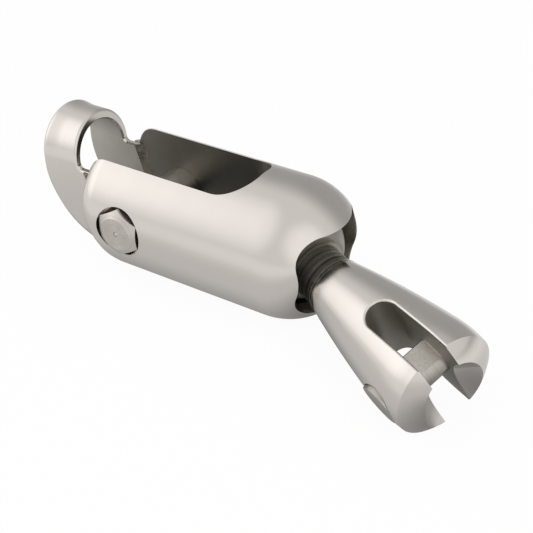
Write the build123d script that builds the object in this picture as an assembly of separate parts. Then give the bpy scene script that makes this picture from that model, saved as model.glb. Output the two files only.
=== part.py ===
from build123d import *
import math
import os

# Anchor swivel for 8 mm chain.  Millimetres, +Z up.
# The origin is the middle of the anchor pin's axis.  +X runs along the body towards the chain,
# +Y runs along the anchor pin, away from the pin's head.

# ---------------------------------------------------------------- driving dimensions
RUNNING_CLEARANCE = 0.05        # radial, shafts and balls that turn or slide
AXIAL_CLEARANCE = 0.05          # between faces that turn on each other
HEAD_GAP = 0.25                 # radial, pocket around a pin's head

# body: a round bar with a domed chain end and a channel for the anchor's shank
BODY_DIAMETER = 48.0
PIN_TO_BALL = 52.7              # anchor pin's axis to the ball's centre
CHANNEL_WIDTH = 26.8
CHANNEL_END_GAP = 10.6          # ball's centre back to the channel's closed end
CHANNEL_CORNER = 11.3           # plan radius of the closed end's corners
CHANNEL_RIM = 0.5               # chamfer along the channel's rims
WEB_START = 16.0                # pin's axis to the web that closes the channel's underside
WEB_THICKNESS = 8.0             # web at the middle of the underside

# ears: the two free ends of the body beside the channel
EAR_TOE_RADIUS = 20.6           # big round under the ears
EAR_TOE_REACH = 8.1             # pin's axis to the start of that round
EAR_TIP_REACH = 19.3            # pin's axis to the ears' foremost point
EAR_CORNER = 6.9                # round on the ears' upper corner
EAR_CORNER_RISE = 0.3           # that round ends this much above the channel's rims
EAR_END_ROUND = 8.0             # turned round on the bar's end, at the ears' tips
EAR_EDGE_ROUND = 2.6            # on the ears' other front edges

# horn: the arched guide welded to the ears, open in front and below
HORN_STEP = 2.1                 # horn's inner walls stand in from the channel's walls
HORN_WALL = 2.6                 # horn's walls where it is narrowest
HORN_SWELL = 0.7                # how much wider the horn is near its front
HORN_LENGTH = 20.3              # ears' tips to the horn's front
HORN_SIDE_RADIUS = 27.5         # round of its lower front, seen from the side
HORN_ROUND_DROP = 1.5           # arch's axis down to that round's centre
HORN_TAIL_ANGLE = 17.5          # degrees, its lower edge where it comes up to the ears
HORN_FRONT_ROUND = 2.0          # on the outside of its front
HORN_LIP_ROUND = 0.9            # on the outside of its lip
HORN_LIP_BEVEL = 0.6            # on the inside of its lip
ARCH_DROP = 6.6                 # ears' rims down to the arch's axis
ROOF_EXTRA = 0.9                # how much thicker the roof is than the walls
LIP_LENGTH = 6.5                # ears' tips to the lip at the arch's crown
LIP_LEAN = 7.0                  # degrees the lip leans forward
NOTCH_DEPTH = 7.6               # ears' rims down to the notch between lip and ears
NOTCH_CORNER = 1.6
WELD_SIZE = 2.0                 # legs of the weld beads outside the joints of horn and ears
WELD_CROWN = 0.4                # how far those beads bulge
WELD_RAMP = 2.6                 # how far the welds inside run along the channel's walls

# anchor pin: a bolt whose hexagon head lies in a round pocket
ANCHOR_PIN_DIAMETER = 14.4
ANCHOR_THREAD_DIAMETER = 12.0
ANCHOR_HEAD_CORNERS = 17.4      # across the hexagon's corners
ANCHOR_HEAD_HEIGHT = 6.5
ANCHOR_HEAD_PROUD = 1.0         # head's face beyond the bar's widest point
ANCHOR_HEAD_FLAT = 11.6         # diameter of the flat face inside the bevel
ANCHOR_HEAD_BEVEL = 30.0        # degrees
ANCHOR_DIMPLE = 1.8             # diameter of the centre mark
ANCHOR_END_DEPTH = 0.4          # threaded end below the far ear's surface
ANCHOR_END_CHAMFER = 1.0
ANCHOR_LOCK_DIAMETER = 5.0
ANCHOR_LOCK_LENGTH = 7.5

# ball joint inside the dome
BALL_RADIUS = 17.75
BALL_FRONT = 13.5               # ball's centre to its front face
BALL_REAR = 6.5                 # ball's centre to its rear face
SEAT_THICKNESS = 1.35
SEAT_PEG_DIAMETER = 5.0
SEAT_PEG_LENGTH = 2.2
OPENING_HALF_WIDTH = 19.2
OPENING_HALF_HEIGHT = 14.0
OPENING_CORNER = 9.5
SEAT_LIP = 0.6                  # seats' edges behind the opening's edges

# stem and what holds it in the ball
STEM_DIAMETER = 16.0
STEM_THREAD_DIAMETER = 12.0
STEM_END_CHAMFER = 0.8
STEM_PROUD = 0.6                # stem's end beyond the nut
BUSH_WALL = 1.0
NECK_WASHER_THICKNESS = 1.5
NECK_WASHER_DIAMETER = 21.0
NECK_DIAMETER = 18.2
NECK_LENGTH = 5.9               # straight part of the neck, in front of its shoulder
REAR_WASHER_THICKNESS = 1.6
REAR_WASHER_DIAMETER = 22.0
NUT_FLATS = 16.0
NUT_HEIGHT = 5.8
LOCK_PIN_DIAMETER = 2.5

# chain jaw
JAW_YAW = 23.5                  # degrees off the body's axis, towards the anchor pin's head
JAW_DROP = 5.5                  # degrees down
JAW_ROLL = 28.0                 # degrees about its own axis
JAW_DIAMETER = 35.0
JAW_ROOT_DIAMETER = 19.2        # where the jaw leaves the dome
JAW_BULGE = 0.7                 # how far the cone's side bulges
JAW_WIDEST = 69.0               # ball's centre to the jaw's widest station
JAW_CREASE_RUN = 5.7            # widest station to the start of the rounded end
JAW_CREASE_TAPER = 0.5          # fall of the side over that run
JAW_SIDE_ROUND = 36.0           # round along the side at the widest station
JAW_END_RUN = 5.6               # start of the rounded end to the jaw's end
JAW_END_FLAT = 6.0              # radius of the flat on the end
JAW_END_FULLNESS = 0.6          # bulge of the rounded end over its straight chord
JAW_SLOT_WIDTH = 9.8
JAW_SLOT_START = 48.0           # ball's centre to the slot's closed end
JAW_SLOT_RIM = 0.6
SCOOP_REACH = 12.0              # jaw's end to the mouth scoop's axis
SCOOP_OFFSET = 3.0              # mouth scoop's axis below the jaw's axis
SCOOP_TUBE = 13.0
SCOOP_RING = 7.0

# chain pin
CHAIN_PIN_BACK = 3.4            # jaw's widest station back to the chain pin's axis
CHAIN_PIN_DIAMETER = 11.4
CHAIN_PIN_FLAT = 4.0            # pin's axis to the flat in the slot
CHAIN_PIN_CHAMFER = 0.8
CHAIN_PIN_DEPTH = 1.2           # pin's far end below the jaw's widest radius
CHAIN_HEAD_DIAMETER = 13.6
CHAIN_HEAD_HEIGHT = 4.5
CHAIN_HEAD_RECESS = 0.6
CHAIN_LOCK_DIAMETER = 4.0
CHAIN_LOCK_LENGTH = 6.0

# set screws, as shares of their diameter
SOCKET_SHARE = 0.28             # hexagon socket's corner radius
SOCKET_DEPTH_SHARE = 0.8
TIP_SHARE = 0.15                # chamfer on the tip

# ---------------------------------------------------------------- worked-out values
BODY_RADIUS = BODY_DIAMETER / 2
CHANNEL_HALF = CHANNEL_WIDTH / 2
CHANNEL_END = PIN_TO_BALL - CHANNEL_END_GAP
RIM_HEIGHT = math.sqrt(BODY_RADIUS**2 - CHANNEL_HALF**2)
EAR_TOP = RIM_HEIGHT + EAR_CORNER_RISE
NOTCH_HEIGHT = RIM_HEIGHT - NOTCH_DEPTH
ARCH_HEIGHT = RIM_HEIGHT - ARCH_DROP
HORN_INNER = CHANNEL_HALF - HORN_STEP
HORN_OUTER = HORN_INNER + HORN_WALL
HORN_FRONT = -EAR_TIP_REACH - HORN_LENGTH
HORN_ROUND_HEIGHT = ARCH_HEIGHT - HORN_ROUND_DROP
LIP_CROWN = -EAR_TIP_REACH - LIP_LENGTH
SEAT_INNER_RADIUS = BALL_RADIUS + RUNNING_CLEARANCE
SEAT_OUTER_RADIUS = SEAT_INNER_RADIUS + SEAT_THICKNESS
SOCKET_RADIUS = SEAT_OUTER_RADIUS + RUNNING_CLEARANCE
SEAT_EDGE = OPENING_HALF_HEIGHT + SEAT_LIP
ANCHOR_HEAD_FACE = BODY_RADIUS + ANCHOR_HEAD_PROUD
ANCHOR_HEAD_SEAT = ANCHOR_HEAD_FACE - ANCHOR_HEAD_HEIGHT
ANCHOR_POCKET_RADIUS = ANCHOR_HEAD_CORNERS / 2 + HEAD_GAP
ANCHOR_LOCK_PLACE = (CHANNEL_HALF + BODY_RADIUS) / 2
STEM_SHOULDER = BALL_FRONT + NECK_WASHER_THICKNESS + 2 * AXIAL_CLEARANCE
STEM_STEP = BALL_REAR + AXIAL_CLEARANCE
NUT_FRONT = STEM_STEP + REAR_WASHER_THICKNESS
NUT_MIDDLE = NUT_FRONT + NUT_HEIGHT / 2
STEM_END = NUT_FRONT + NUT_HEIGHT + STEM_PROUD
JAW_RADIUS = JAW_DIAMETER / 2
JAW_ROOT_RADIUS = JAW_ROOT_DIAMETER / 2
JAW_NECK_END = STEM_SHOULDER + NECK_LENGTH
JAW_CREASE = JAW_WIDEST + JAW_CREASE_RUN
JAW_CREASE_RADIUS = JAW_RADIUS - JAW_CREASE_TAPER
JAW_LENGTH = JAW_CREASE + JAW_END_RUN
JAW_SLOT_HALF = JAW_SLOT_WIDTH / 2
CHAIN_PIN_STATION = JAW_WIDEST - CHAIN_PIN_BACK
CHAIN_HEAD_FACE = JAW_RADIUS - CHAIN_HEAD_RECESS
CHAIN_HEAD_SEAT = CHAIN_HEAD_FACE - CHAIN_HEAD_HEIGHT
CHAIN_LOCK_PLACE = -(JAW_SLOT_HALF + CHAIN_HEAD_SEAT) / 2
FAR = 4 * BODY_DIAMETER         # longer than anything it cuts
TOUCH = 0.01                    # how near an edge counts as on a surface

BALL_PLACE = Pos(PIN_TO_BALL, 0, 0)
BALL_TILT = BALL_PLACE * Rot(0, 0, -JAW_YAW) * Rot(0, JAW_DROP, 0)
JAW_PLACE = BALL_TILT * Rot(JAW_ROLL, 0, 0)


# ---------------------------------------------------------------- helpers
def rod_x(radius, start, end, y=0.0, z=0.0):
    """A cylinder along X from start to end."""
    return Pos((start + end) / 2, y, z) * Rot(0, 90, 0) * Cylinder(radius, end - start)


def rod_y(radius, start, end, x=0.0, z=0.0):
    """A cylinder along Y from start to end."""
    return Pos(x, (start + end) / 2, z) * Rot(90, 0, 0) * Cylinder(radius, end - start)


def rod_z(radius, start, end, x=0.0, y=0.0):
    """A cylinder along Z from start to end."""
    return Pos(x, y, (start + end) / 2) * Cylinder(radius, end - start)


def side_slab(outline):
    """An outline drawn in X and Z, made into a slab that runs right across the object in Y."""
    return extrude(Plane.XZ * outline, amount=FAR, both=True)


def turned_x(outline):
    """A half outline (along X, radius in Y) turned about the X axis."""
    return revolve(outline, Axis.X)


def hexagon_y(corners, start, end):
    """A hexagon bar along Y, corners up and down."""
    head = extrude(RegularPolygon(corners / 2, 6, rotation=90), end - start)
    return Pos(0, start, 0) * Rot(-90, 0, 0) * head


def grub_screw(diameter, length):
    """A screw without a head, along Z from 0 down, with a hexagon socket in its lower end."""
    socket = extrude(RegularPolygon(diameter * SOCKET_SHARE, 6), diameter * SOCKET_DEPTH_SHARE)
    screw = rod_z(diameter / 2, -length, 0)
    tip = screw.edges().filter_by(GeomType.CIRCLE).sort_by(Axis.Z)[-1]
    return chamfer(tip, diameter * TIP_SHARE) - Pos(0, 0, -length) * socket


def direction(degrees):
    """A unit vector at an angle from +X towards +Y."""
    return Vector(math.cos(math.radians(degrees)), math.sin(math.radians(degrees)))


# ---------------------------------------------------------------- body
def ear_front():
    """The ears' front edge seen from the side: big toe round, straight run, corner round."""
    toe = Vector(EAR_TOE_REACH, EAR_TOE_RADIUS - BODY_RADIUS)
    corner = Vector(-EAR_TIP_REACH + EAR_CORNER, EAR_TOP - EAR_CORNER)
    between = corner - toe
    lean = math.acos((EAR_TOE_RADIUS - EAR_CORNER) / between.length)
    turn = math.degrees(math.atan2(between.Y, between.X) + lean)
    outward = direction(turn)
    path = CenterArc(toe, EAR_TOE_RADIUS, 270, turn - 270)
    path += Line(toe + outward * EAR_TOE_RADIUS, corner + outward * EAR_CORNER)
    path += CenterArc(corner, EAR_CORNER, turn, 90 - turn)
    return path


def ear_side():
    """Side outline of the body from the ears' front edge back."""
    corner_x = -EAR_TIP_REACH + EAR_CORNER
    path = ear_front() + Line((EAR_TOE_REACH, -FAR), (EAR_TOE_REACH, -BODY_RADIUS))
    path += Polyline((corner_x, EAR_TOP), (corner_x, FAR), (FAR, FAR), (FAR, -FAR), (EAR_TOE_REACH, -FAR))
    return make_face(path)


def channel_tool():
    """What the channel takes out of the bar: a plan outline with a rounded closed end."""
    length = FAR + CHANNEL_END
    plan = Pos(CHANNEL_END - length / 2, 0) * Rectangle(length, CHANNEL_WIDTH)
    closed_end = plan.vertices().group_by(Axis.X)[-1]
    plan = fillet(closed_end, CHANNEL_CORNER)
    web_top = WEB_THICKNESS - BODY_RADIUS
    upper = extrude(Pos(0, 0, web_top) * plan, FAR)
    lower = Pos(WEB_START - FAR / 2, 0, web_top - FAR / 2) * Box(FAR, CHANNEL_WIDTH, FAR)
    return upper + lower


def dome_opening_tool():
    """The wide opening in the dome that the jaw's neck swings in."""
    window = RectangleRounded(2 * OPENING_HALF_WIDTH, 2 * OPENING_HALF_HEIGHT, OPENING_CORNER)
    return BALL_PLACE * extrude(Plane.YZ * window, FAR)


def on_bar(edge):
    """Whether an edge's middle lies on the round of the body's bar."""
    middle = edge @ 0.5
    return abs(math.hypot(middle.Y, middle.Z) - BODY_RADIUS) < TOUCH


def domed_bar():
    """The body's bar with its domed end and its ears' fronts, before anything is cut into it."""
    start = -EAR_TIP_REACH
    round_x = start + EAR_END_ROUND
    outline = Polyline((PIN_TO_BALL + BODY_RADIUS, 0), (start, 0), (start, BODY_RADIUS - EAR_END_ROUND))
    outline += CenterArc((round_x, BODY_RADIUS - EAR_END_ROUND), EAR_END_ROUND, 180, -90)
    outline += Line((round_x, BODY_RADIUS), (PIN_TO_BALL, BODY_RADIUS))
    outline += CenterArc((PIN_TO_BALL, 0), BODY_RADIUS, 0, 90)
    return turned_x(make_face(outline)) & side_slab(ear_side())


def is_ear_front(edge):
    """Whether an edge goes round the outside of an ear's front, below the corner round."""
    start, middle, end = edge @ 0, edge @ 0.5, edge @ 1
    crosses = abs(start.Y - end.Y) > TOUCH and abs(start.X - end.X) > TOUCH
    outside = abs(middle.Y) > CHANNEL_HALF + TOUCH and middle.X < EAR_TOE_REACH
    return crosses and outside and middle.Z < EAR_TOP - EAR_CORNER


def round_ears(body):
    """The body with its ears' front edges rounded and the channel's rims chamfered."""
    body = fillet([e for e in body.edges() if is_ear_front(e)], EAR_EDGE_ROUND)
    rims = [e for e in body.edges() if on_bar(e) and abs((e @ 0.5).Y) < CHANNEL_HALF + TOUCH]
    rims = [e for e in rims if (e @ 0.5).Z > 0 and (e @ 0.5).X < CHANNEL_END + TOUCH]
    return chamfer(rims, CHANNEL_RIM)


def make_body():
    """Bar, dome, ears, channel, ball socket, opening, pin bores and lock screw hole."""
    body = round_ears(domed_bar() - channel_tool())
    body -= BALL_PLACE * Sphere(SOCKET_RADIUS)
    peg_hole = SEAT_PEG_DIAMETER / 2 + RUNNING_CLEARANCE
    peg_reach = SEAT_OUTER_RADIUS + SEAT_PEG_LENGTH + AXIAL_CLEARANCE
    body -= rod_z(peg_hole, -peg_reach, peg_reach, PIN_TO_BALL)
    body -= dome_opening_tool()
    body -= rod_y(ANCHOR_POCKET_RADIUS, -FAR, -ANCHOR_HEAD_SEAT)
    body -= rod_y(ANCHOR_PIN_DIAMETER / 2 + RUNNING_CLEARANCE, -ANCHOR_HEAD_FACE, 0)
    body -= rod_y(ANCHOR_THREAD_DIAMETER / 2 + RUNNING_CLEARANCE, 0, FAR)
    body -= rod_z(ANCHOR_LOCK_DIAMETER / 2 + RUNNING_CLEARANCE, -FAR, 0, 0, ANCHOR_LOCK_PLACE)
    return body


# ---------------------------------------------------------------- horn
def horn_side():
    """Side outline of the horn: upright front, round lower front, straight lower edge."""
    centre = Vector(HORN_FRONT + HORN_SIDE_RADIUS, HORN_ROUND_HEIGHT)
    tail_turn = 270 - HORN_TAIL_ANGLE
    tail = centre + direction(tail_turn) * HORN_SIDE_RADIUS
    end = tail + direction(-HORN_TAIL_ANGLE) * FAR
    path = Line((HORN_FRONT, FAR), (HORN_FRONT, HORN_ROUND_HEIGHT))
    path += CenterArc(centre, HORN_SIDE_RADIUS, 180, tail_turn - 180)
    path += Polyline(tail, end, (end.X, FAR), (HORN_FRONT, FAR))
    return make_face(path)


def behind_lip():
    """Side outline of what is open behind the roof: the leaning lip, then the notch."""
    crown = ARCH_HEIGHT + HORN_OUTER
    lean = math.tan(math.radians(LIP_LEAN))
    foot = (LIP_CROWN + (crown - NOTCH_HEIGHT) * lean, NOTCH_HEIGHT)
    top = (LIP_CROWN - (FAR - crown) * lean, FAR)
    face = make_face(Polyline(top, foot, (FAR, NOTCH_HEIGHT), (FAR, FAR), close=True))
    return fillet(face.vertices().sort_by_distance(foot)[0], NOTCH_CORNER)


def arched(plan, axis_height):
    """A plan outline's half made into a tunnel shape: turned above the axis, upright below it."""
    turned = revolve(plan, Axis.X) & Pos(0, 0, FAR / 2) * Box(FAR, FAR, FAR)
    upright = extrude(plan + mirror(plan, Plane.XZ), -FAR)
    return Pos(0, 0, axis_height) * (turned + upright)


def horn_plan():
    """Half of the horn's plan outline: swollen near its front, straight towards its lip."""
    front = (HORN_FRONT, HORN_OUTER + HORN_SWELL)
    waist = ((HORN_FRONT + LIP_CROWN) / 2, HORN_OUTER)
    side = Spline(front, waist, tangents=((1, 0), (1, 0)))
    return make_face(side + Polyline(waist, (0, HORN_OUTER), (0, 0), (HORN_FRONT, 0), front))


def tunnel_plan():
    """Half of the plan outline of the way through the horn."""
    return Pos(0, HORN_INNER / 2) * Rectangle(FAR, HORN_INNER)


def from_middle(point, axis_height):
    """How far out a point of the horn is: from the arch's axis above it, sideways below it."""
    return math.hypot(point.Y, max(0, point.Z - axis_height))


def is_horn_front(edge):
    """Whether an edge goes round the outside of the horn's front."""
    for point in (edge @ 0, edge @ 0.5, edge @ 1):
        below = min(0, point.Z - HORN_ROUND_HEIGHT)
        reach = math.hypot(HORN_FRONT + HORN_SIDE_RADIUS - point.X, below)
        outside = from_middle(point, ARCH_HEIGHT + ROOF_EXTRA) > HORN_OUTER - TOUCH
        if abs(reach - HORN_SIDE_RADIUS) > TOUCH or not outside:
            return False
    return True


def lip_edges(horn, width, axis_height):
    """The edges of the lip and its notch that run at one width round the horn."""
    edges = [e for e in horn.edges() if min((e @ 0).X, (e @ 1).X) > LIP_CROWN]
    edges = [e for e in edges if (e @ 0.5).Z > NOTCH_HEIGHT - TOUCH]
    return [e for e in edges if abs(from_middle(e @ 0.5, axis_height) - width) < TOUCH]


def make_horn():
    """The arched horn: two walls that carry on from the ears, joined by a roof."""
    outer = arched(horn_plan(), ARCH_HEIGHT + ROOF_EXTRA) & side_slab(horn_side())
    horn = outer - arched(tunnel_plan(), ARCH_HEIGHT)
    horn = horn - side_slab(behind_lip()) - side_slab(ear_side())
    horn = horn.solids().sort_by(SortBy.VOLUME)[-1]
    horn = fillet([e for e in horn.edges() if is_horn_front(e)], HORN_FRONT_ROUND)
    horn = fillet(lip_edges(horn, HORN_OUTER, ARCH_HEIGHT + ROOF_EXTRA), HORN_LIP_ROUND)
    return chamfer(lip_edges(horn, HORN_INNER, ARCH_HEIGHT), HORN_LIP_BEVEL)


def along_ear(corners, crown=0.0):
    """A three-cornered section swept along the ears' front edge, its last side bulged by crown.

    The corners are given as depth into the ear and distance from the middle plane.
    """
    first, second, third = (Vector(*corner) for corner in corners)
    across = third - second
    bulge = Vector(across.Y, -across.X).normalized() * crown
    outline = Polyline(third, first, second) + Spline(second, (second + third) / 2 + bulge, third)
    path = ear_front()
    start = path @ 0
    plane = Plane(origin=(start.X, 0, start.Y), x_dir=(0, 0, 1), z_dir=(-1, 0, 0))
    return sweep(plane * make_face(outline), Plane.XZ * path)


def make_welds(horn):
    """The welds between horn and ears: on each side a bead outside and a ground ramp inside."""
    outer = (0, HORN_OUTER), (0, HORN_OUTER + WELD_SIZE), (-WELD_SIZE, HORN_OUTER)
    inner = (0, HORN_INNER), (0, CHANNEL_HALF), (WELD_RAMP, CHANNEL_HALF)
    horn_end = horn.bounding_box().max.X
    joint = Pos(horn_end - FAR / 2, 0, NOTCH_HEIGHT - FAR / 2) * Box(FAR, FAR, FAR)
    along_horn = joint & side_slab(horn_side()) & rod_x(BODY_RADIUS, -FAR, FAR)
    welds = [along_ear(outer, WELD_CROWN) & along_horn, along_ear(inner) & along_horn]
    return Compound([w for weld in welds for w in (weld, mirror(weld, Plane.XZ))])


# ---------------------------------------------------------------- anchor pin
def bevelled_head():
    """The anchor pin's hexagon head with its bevelled face."""
    head = hexagon_y(ANCHOR_HEAD_CORNERS, -ANCHOR_HEAD_FACE, -ANCHOR_HEAD_SEAT)
    run = ANCHOR_HEAD_CORNERS - ANCHOR_HEAD_FLAT / 2
    drop = run * math.tan(math.radians(ANCHOR_HEAD_BEVEL))
    half = Polyline(
        (0, -ANCHOR_HEAD_FACE),
        (ANCHOR_HEAD_FLAT / 2, -ANCHOR_HEAD_FACE),
        (ANCHOR_HEAD_CORNERS, drop - ANCHOR_HEAD_FACE),
        (ANCHOR_HEAD_CORNERS, 0),
        (0, 0),
        close=True,
    )
    return head & revolve(make_face(half), Axis.Y)


def make_anchor_pin():
    """Hexagon head, plain shank across the channel, threaded end in the far ear."""
    shoulder = CHANNEL_HALF - AXIAL_CLEARANCE
    shank = rod_y(ANCHOR_PIN_DIAMETER / 2, -ANCHOR_HEAD_SEAT, shoulder)
    tip = math.sqrt(BODY_RADIUS**2 - (ANCHOR_THREAD_DIAMETER / 2) ** 2) - ANCHOR_END_DEPTH
    thread = rod_y(ANCHOR_THREAD_DIAMETER / 2, shoulder, tip)
    end = thread.edges().filter_by(GeomType.CIRCLE).sort_by(Axis.Y)[-1]
    thread = chamfer(end, ANCHOR_END_CHAMFER)
    dimple = Pos(0, -ANCHOR_HEAD_FACE, 0) * Sphere(ANCHOR_DIMPLE / 2)
    return bevelled_head() + shank + thread - dimple


def make_anchor_lock():
    """The small screw under the far ear that locks the anchor pin's thread."""
    top = -ANCHOR_THREAD_DIAMETER / 2 - AXIAL_CLEARANCE
    return Pos(0, ANCHOR_LOCK_PLACE, top) * grub_screw(ANCHOR_LOCK_DIAMETER, ANCHOR_LOCK_LENGTH)


# ---------------------------------------------------------------- ball joint
def make_seat(side):
    """A thin spherical seat above (+1) or below (-1) the ball, with a peg it turns on."""
    cap = Sphere(SEAT_OUTER_RADIUS) - Sphere(SEAT_INNER_RADIUS)
    cap = cap & Pos(0, 0, SEAT_EDGE + FAR / 2) * Box(FAR, FAR, FAR)
    peg_foot = SEAT_OUTER_RADIUS - SEAT_THICKNESS / 2
    peg = rod_z(SEAT_PEG_DIAMETER / 2, peg_foot, SEAT_OUTER_RADIUS + SEAT_PEG_LENGTH)
    return BALL_PLACE * Rot(0 if side > 0 else 180, 0, 0) * (cap + peg)


def make_ball():
    """The ball, flat in front and behind, bored for the bush."""
    zone = rod_x(FAR, -BALL_REAR, BALL_FRONT)
    bore = rod_x(STEM_DIAMETER / 2 + RUNNING_CLEARANCE + BUSH_WALL, -FAR, FAR)
    return BALL_TILT * ((Sphere(BALL_RADIUS) & zone) - bore)


def make_bush():
    """The bush the stem turns in."""
    inner = STEM_DIAMETER / 2 + RUNNING_CLEARANCE
    return BALL_TILT * (rod_x(inner + BUSH_WALL, -BALL_REAR, BALL_FRONT) - rod_x(inner, -FAR, FAR))


def make_neck_washer():
    """The washer between the ball's front face and the jaw's shoulder."""
    start = BALL_FRONT + AXIAL_CLEARANCE / 2
    washer = rod_x(NECK_WASHER_DIAMETER / 2, start, start + NECK_WASHER_THICKNESS)
    return BALL_TILT * (washer - rod_x(STEM_DIAMETER / 2 + RUNNING_CLEARANCE, -FAR, FAR))


def make_rear_washer():
    """The thrust washer between the ball's rear face and the nut."""
    washer = rod_x(REAR_WASHER_DIAMETER / 2, -NUT_FRONT, -STEM_STEP)
    return JAW_PLACE * (washer - rod_x(STEM_THREAD_DIAMETER / 2 + RUNNING_CLEARANCE, -FAR, FAR))


def nut_pin_hole():
    """The cross hole for the nut's lock pin."""
    return rod_y(LOCK_PIN_DIAMETER / 2 + RUNNING_CLEARANCE, -FAR, FAR, -NUT_MIDDLE)


def make_nut():
    """The nut on the stem's rear end."""
    nut = Rot(0, 90, 0) * extrude(RegularPolygon(NUT_FLATS / math.sqrt(3), 6), NUT_HEIGHT)
    nut = Pos(-NUT_FRONT - NUT_HEIGHT, 0, 0) * nut
    nut -= rod_x(STEM_THREAD_DIAMETER / 2 + RUNNING_CLEARANCE, -FAR, FAR)
    return JAW_PLACE * (nut - nut_pin_hole())


def make_nut_lock_pin():
    """The pin through the nut and the stem."""
    return JAW_PLACE * rod_y(LOCK_PIN_DIAMETER / 2, -NUT_FLATS / 2, NUT_FLATS / 2, -NUT_MIDDLE)


# ---------------------------------------------------------------- chain jaw
def bulged(start, end, bulge):
    """An arc from start to end whose middle stands off the chord, away from the axis."""
    chord = Vector(*end) - Vector(*start)
    middle = (Vector(*start) + Vector(*end)) / 2 + Vector(-chord.Y, chord.X).normalized() * bulge
    return ThreePointArc(start, middle, end)


def jaw_outline():
    """Half outline of the jaw and its stem, turned about the jaw's axis."""
    thread = STEM_THREAD_DIAMETER / 2
    stem = STEM_DIAMETER / 2
    neck = NECK_DIAMETER / 2
    root = (BODY_RADIUS, JAW_ROOT_RADIUS)
    widest = (JAW_WIDEST, JAW_RADIUS)
    crease = (JAW_CREASE, JAW_CREASE_RADIUS)
    flat = (JAW_LENGTH, JAW_END_FLAT)
    path = Polyline(
        (-STEM_END, 0),
        (-STEM_END, thread - STEM_END_CHAMFER),
        (-STEM_END + STEM_END_CHAMFER, thread),
        (-STEM_STEP, thread),
        (-STEM_STEP, stem),
        (STEM_SHOULDER, stem),
        (STEM_SHOULDER, neck),
        (JAW_NECK_END, neck),
        root,
    )
    path += bulged(root, widest, JAW_BULGE)
    path += Line(widest, crease)
    path += bulged(crease, flat, JAW_END_FULLNESS)
    path += Polyline(flat, (JAW_LENGTH, 0), (-STEM_END, 0))
    face = make_face(path)
    return fillet(face.vertices().sort_by_distance(widest)[0], JAW_SIDE_ROUND)


def slot_tool():
    """The chain slot: open to the end and to both sides, with a round closed end."""
    centre = JAW_SLOT_START + JAW_SLOT_HALF
    slot = Pos(centre + FAR / 2, 0, 0) * Box(FAR, JAW_SLOT_WIDTH, FAR)
    return slot + rod_z(JAW_SLOT_HALF, -FAR / 2, FAR / 2, centre)


def scoop_tool():
    """The barrel-shaped scoop that flares the mouth between the ears."""
    half = Polyline((0, -SCOOP_TUBE), (0, SCOOP_TUBE), (SCOOP_RING, SCOOP_TUBE))
    half += CenterArc((SCOOP_RING, 0), SCOOP_TUBE, 90, -180)
    half += Line((SCOOP_RING, -SCOOP_TUBE), (0, -SCOOP_TUBE))
    return Pos(JAW_LENGTH + SCOOP_REACH, 0, -SCOOP_OFFSET) * revolve(make_face(half), Axis.Y)


def is_slot_rim(edge):
    """Whether an edge is where the slot meets the jaw's turned surface."""
    middle = edge @ 0.5
    on_wall = abs(middle.Y) < JAW_SLOT_HALF + TOUCH and middle.X > JAW_SLOT_START - TOUCH
    return on_wall and middle.X < JAW_CREASE


def make_jaw():
    """The jaw: cone with slot, scooped mouth, chain pin bores and the stem behind it."""
    jaw = turned_x(jaw_outline()) - slot_tool()
    rims = [e for e in jaw.edges() if is_slot_rim(e)]
    jaw = fillet(rims, JAW_SLOT_RIM)
    jaw -= scoop_tool()
    jaw -= rod_y(CHAIN_PIN_DIAMETER / 2 + RUNNING_CLEARANCE, -FAR, FAR, CHAIN_PIN_STATION)
    jaw -= rod_y(CHAIN_HEAD_DIAMETER / 2 + HEAD_GAP, -FAR, -CHAIN_HEAD_SEAT, CHAIN_PIN_STATION)
    lock_bore = CHAIN_LOCK_DIAMETER / 2 + RUNNING_CLEARANCE
    jaw -= rod_z(lock_bore, -FAR, 0, CHAIN_PIN_STATION, CHAIN_LOCK_PLACE)
    return JAW_PLACE * (jaw - nut_pin_hole())


def make_chain_pin():
    """The chain pin, with a flat across the slot."""
    pin = rod_y(CHAIN_PIN_DIAMETER / 2, -CHAIN_HEAD_SEAT, JAW_RADIUS - CHAIN_PIN_DEPTH)
    far_end = pin.edges().filter_by(GeomType.CIRCLE).sort_by(Axis.Y)[-1]
    pin = chamfer(far_end, CHAIN_PIN_CHAMFER)
    pin += rod_y(CHAIN_HEAD_DIAMETER / 2, -CHAIN_HEAD_FACE, -CHAIN_HEAD_SEAT)
    flat = Pos(0, 0, CHAIN_PIN_FLAT + FAR / 2) * Box(FAR, JAW_SLOT_WIDTH + 2 * AXIAL_CLEARANCE, FAR)
    return JAW_PLACE * Pos(CHAIN_PIN_STATION, 0, 0) * (pin - flat)


def make_chain_lock():
    """The small screw under the near ear that locks the chain pin."""
    top = -CHAIN_PIN_DIAMETER / 2 - AXIAL_CLEARANCE
    screw = grub_screw(CHAIN_LOCK_DIAMETER, CHAIN_LOCK_LENGTH)
    return JAW_PLACE * Pos(CHAIN_PIN_STATION, CHAIN_LOCK_PLACE, top) * screw


# ---------------------------------------------------------------- assembly
def make_parts():
    """Every piece of the swivel, by node name."""
    body = make_body()
    horn = make_horn()
    return {
        "swivel_body": body,
        "guide_horn": horn,
        "horn_welds": make_welds(horn),
        "anchor_pin": make_anchor_pin(),
        "anchor_pin_lock_screw": make_anchor_lock(),
        "upper_ball_seat": make_seat(1),
        "lower_ball_seat": make_seat(-1),
        "swivel_ball": make_ball(),
        "stem_bush": make_bush(),
        "neck_washer": make_neck_washer(),
        "rear_washer": make_rear_washer(),
        "stem_nut": make_nut(),
        "nut_lock_pin": make_nut_lock_pin(),
        "chain_jaw": make_jaw(),
        "chain_pin": make_chain_pin(),
        "chain_pin_lock_screw": make_chain_lock(),
    }


os.makedirs("parts", exist_ok=True)
for name, shape in make_parts().items():
    export_step(shape, f"parts/{name}.step")
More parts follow.
